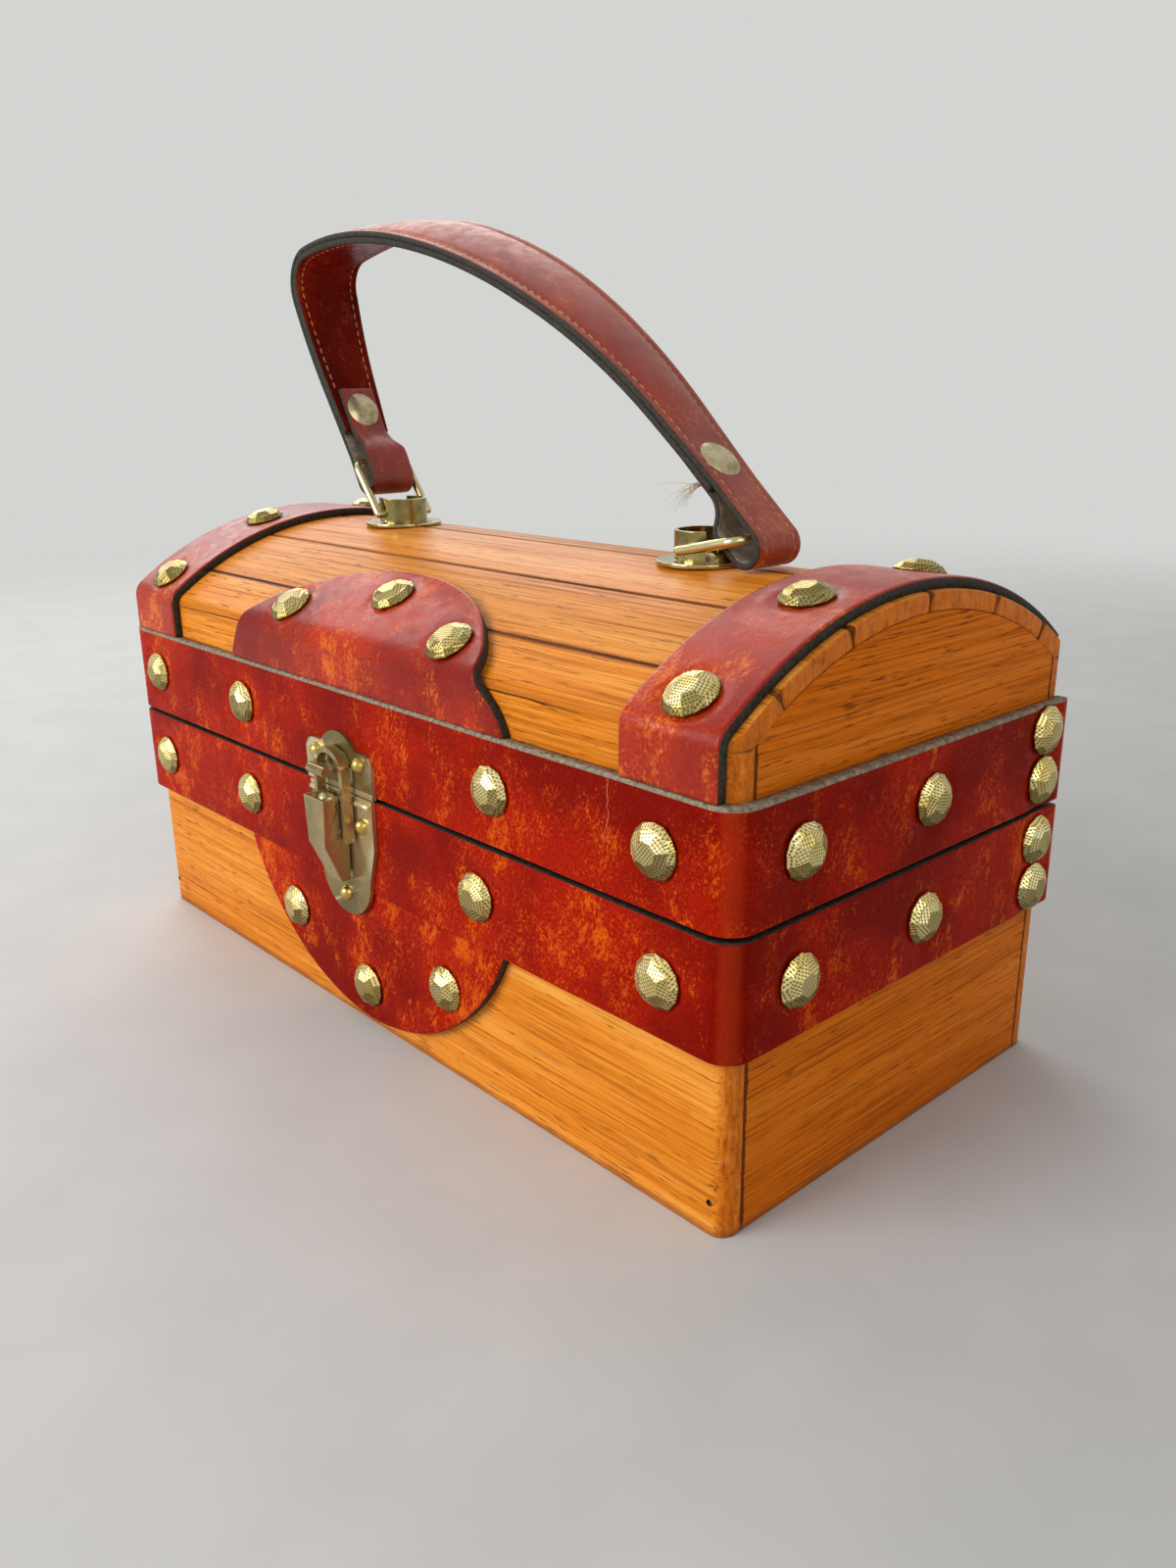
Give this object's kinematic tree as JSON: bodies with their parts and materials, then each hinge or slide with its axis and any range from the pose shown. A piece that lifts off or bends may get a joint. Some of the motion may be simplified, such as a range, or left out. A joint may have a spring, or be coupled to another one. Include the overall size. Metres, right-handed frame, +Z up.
{
  "type": "treasure chest box purse",
  "caption": "Domed wooden box with leather bands and straps, hammered studs, a front draw latch, a back-hinged lid and a leather handle on wire rings.",
  "frame": {"origin": "bottom centre of the wooden box, on the face that it rests on", "axes": "+X to the right along the box's length as seen from the latch side, +Y to the hinged back, +Z up"},
  "size_m": [0.272, 0.141, 0.2183],
  "materials": {
    "honey_wood": "satin varnish over fine-pored honey-coloured wood",
    "end_wood": "satin varnish, deeper orange-brown",
    "plain_wood": "bare thin board",
    "felt": "short felt",
    "strap_leather": "marbled oxblood, satin gloss, dark edges",
    "handle_leather": "oxblood, stitched, black painted edges",
    "hammered_brass": "hammered, antique gold",
    "antique_bronze": "antique, worn on the edges",
    "latch_nail_brass": "bright",
    "antique_brass": "antique, satin",
    "hinge_brass": "dull",
    "pale_gold_plate": "polished pale gold plate",
    "iron_pin": "dark"
  },
  "bodies": {
    "base": {"base_front_board": "honey_wood", "base_back_board": "honey_wood", "base_left_end_board": "end_wood", "base_right_end_board": "end_wood", "base_bottom_board": "plain_wood", "base_panel_pins": "iron_pin", "base_lining": "felt", "base_band": "strap_leather", "base_tongue": "strap_leather", "base_band_studs": "hammered_brass", "base_tongue_studs": "hammered_brass", "latch_base_plate": "antique_bronze", "latch_base_pins": "latch_nail_brass", "latch_lever_pin": "latch_nail_brass", "left_hinge_base_leaf": "hinge_brass", "right_hinge_base_leaf": "hinge_brass", "left_hinge_pin": "hinge_brass", "right_hinge_pin": "hinge_brass", "hinge_base_nails": "hinge_brass"},
    "lid": {"lid_front_rail": "honey_wood", "lid_back_rail": "honey_wood", "lid_left_end": "end_wood", "lid_right_end": "end_wood", "lid_stave_1": "honey_wood", "lid_stave_2": "honey_wood", "lid_stave_3": "honey_wood", "lid_stave_4": "honey_wood", "lid_stave_5": "honey_wood", "lid_stave_6": "honey_wood", "lid_lining": "felt", "lid_band": "strap_leather", "lid_tongue": "strap_leather", "lid_left_strap": "strap_leather", "lid_right_strap": "strap_leather", "lid_band_studs": "hammered_brass", "lid_tongue_studs": "hammered_brass", "lid_strap_studs": "hammered_brass", "strike_plate": "antique_bronze", "strike_pins": "latch_nail_brass", "left_hinge_lid_leaf": "hinge_brass", "right_hinge_lid_leaf": "hinge_brass", "hinge_lid_nails": "hinge_brass", "left_bracket": "pale_gold_plate", "right_bracket": "pale_gold_plate", "bracket_rivets": "antique_brass"},
    "latch_lever": {"latch_lever": "antique_bronze"},
    "latch_bail": {"latch_bail": "antique_bronze", "latch_bail_pin": "latch_nail_brass"},
    "left_ring": {"left_ring": "pale_gold_plate"},
    "right_ring": {"right_ring": "pale_gold_plate"},
    "handle": {"handle_strap": "handle_leather", "handle_lining": "handle_leather", "handle_rivets": "antique_brass"}
  },
  "joints": [
    {"name": "lid_hinge", "type": "hinge", "parent": "base", "child": "lid", "pos_m": [0, 0.0644, 0.07065], "axis": [-1, 0, 0], "range_deg": [0, 100]},
    {"name": "latch_lever_pivot", "type": "hinge", "parent": "base", "child": "latch_lever", "pos_m": [-0.005, -0.0695, 0.06785], "axis": [-1, 0, 0], "range_deg": [0, 95]},
    {"name": "latch_bail_pivot", "type": "hinge", "parent": "latch_lever", "child": "latch_bail", "pos_m": [-0.005, -0.0683, 0.05955], "axis": [-1, 0, 0], "range_deg": [-85.5, 0]},
    {"name": "left_ring_swing", "type": "hinge", "parent": "lid", "child": "left_ring", "pos_m": [-0.065, 0, 0.1347], "axis": [0, -1, 0], "range_deg": [0, 30]},
    {"name": "handle_swing", "type": "hinge", "parent": "left_ring", "child": "handle", "pos_m": [-0.07643, 0, 0.14987], "axis": [0, -1, 0], "range_deg": [-22.5, 0]},
    {"name": "right_ring_swing", "type": "hinge", "parent": "lid", "child": "right_ring", "pos_m": [0.065, 0, 0.1347], "axis": [0, -1, 0], "range_deg": [0, 40.5]}
  ],
  "couplings": [
    {"joint": "latch_bail_pivot", "follows": "latch_lever_pivot", "ratio": -0.9},
    {"joint": "handle_swing", "follows": "left_ring_swing", "ratio": -0.75},
    {"joint": "right_ring_swing", "follows": "left_ring_swing", "ratio": 1.35}
  ]
}
